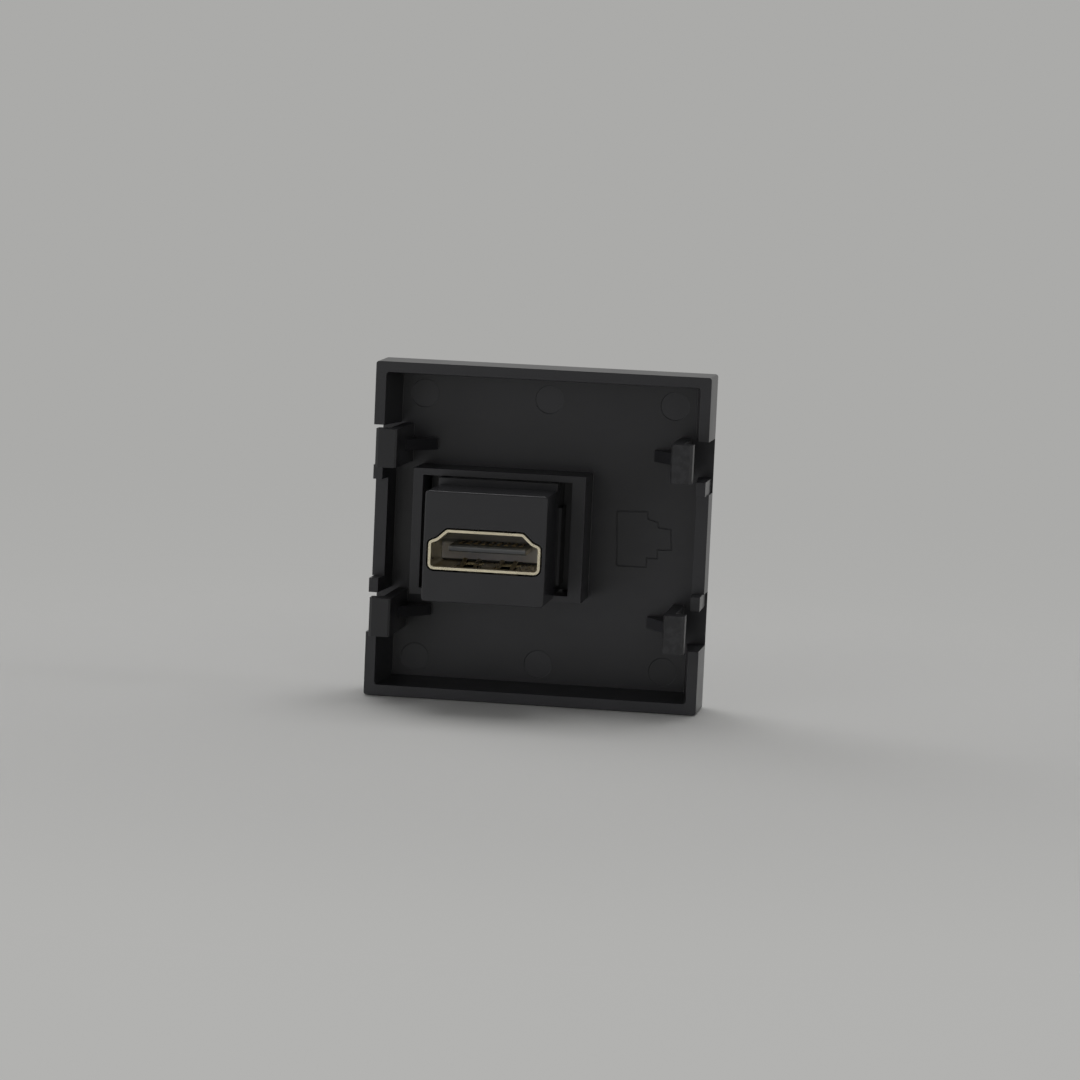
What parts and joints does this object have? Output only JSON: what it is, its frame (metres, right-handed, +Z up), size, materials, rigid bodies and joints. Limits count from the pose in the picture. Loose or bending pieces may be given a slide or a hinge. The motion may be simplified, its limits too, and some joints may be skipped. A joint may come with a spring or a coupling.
{
  "type": "hdmi socket module",
  "caption": "Square snap-in cover module seen as a shallow tray with spring clips, holding an offset through coupler with an HDMI socket at its front and rear.",
  "frame": {"origin": "centre of the plane of the tray's rear rim, which lies against the mounting frame", "axes": "+Y to the rear, out of the tray; +Z up; +X to the left as seen from the rear, the side that the coupler is set towards"},
  "size_m": [0.045, 0.0203, 0.045],
  "materials": {
    "moulded_black": "satin",
    "coupler_black": "glossy",
    "shell_metal": "satin, pale gold plated",
    "insulator_black": "matte",
    "contact_gold": "bright plated",
    "board_green": "satin"
  },
  "bodies": {
    "root": {"cover_plate": "moulded_black", "coupler_rear_housing": "coupler_black", "coupler_front_housing": "coupler_black", "rear_shell": "shell_metal", "front_shell": "shell_metal", "rear_insulator": "insulator_black", "front_insulator": "insulator_black", "joining_board": "board_green", "rear_wide_contact_01": "contact_gold", "rear_wide_contact_02": "contact_gold", "rear_wide_contact_03": "contact_gold", "rear_wide_contact_04": "contact_gold", "rear_wide_contact_05": "contact_gold", "rear_wide_contact_06": "contact_gold", "rear_wide_contact_07": "contact_gold", "rear_wide_contact_08": "contact_gold", "rear_wide_contact_09": "contact_gold", "rear_wide_contact_10": "contact_gold", "rear_narrow_contact_01": "contact_gold", "rear_narrow_contact_02": "contact_gold", "rear_narrow_contact_03": "contact_gold", "rear_narrow_contact_04": "contact_gold", "rear_narrow_contact_05": "contact_gold", "rear_narrow_contact_06": "contact_gold", "rear_narrow_contact_07": "contact_gold", "rear_narrow_contact_08": "contact_gold", "rear_narrow_contact_09": "contact_gold", "front_wide_contact_01": "contact_gold", "front_wide_contact_02": "contact_gold", "front_wide_contact_03": "contact_gold", "front_wide_contact_04": "contact_gold", "front_wide_contact_05": "contact_gold", "front_wide_contact_06": "contact_gold", "front_wide_contact_07": "contact_gold", "front_wide_contact_08": "contact_gold", "front_wide_contact_09": "contact_gold", "front_wide_contact_10": "contact_gold", "front_narrow_contact_01": "contact_gold", "front_narrow_contact_02": "contact_gold", "front_narrow_contact_03": "contact_gold", "front_narrow_contact_04": "contact_gold", "front_narrow_contact_05": "contact_gold", "front_narrow_contact_06": "contact_gold", "front_narrow_contact_07": "contact_gold", "front_narrow_contact_08": "contact_gold", "front_narrow_contact_09": "contact_gold"}
  },
  "joints": []
}
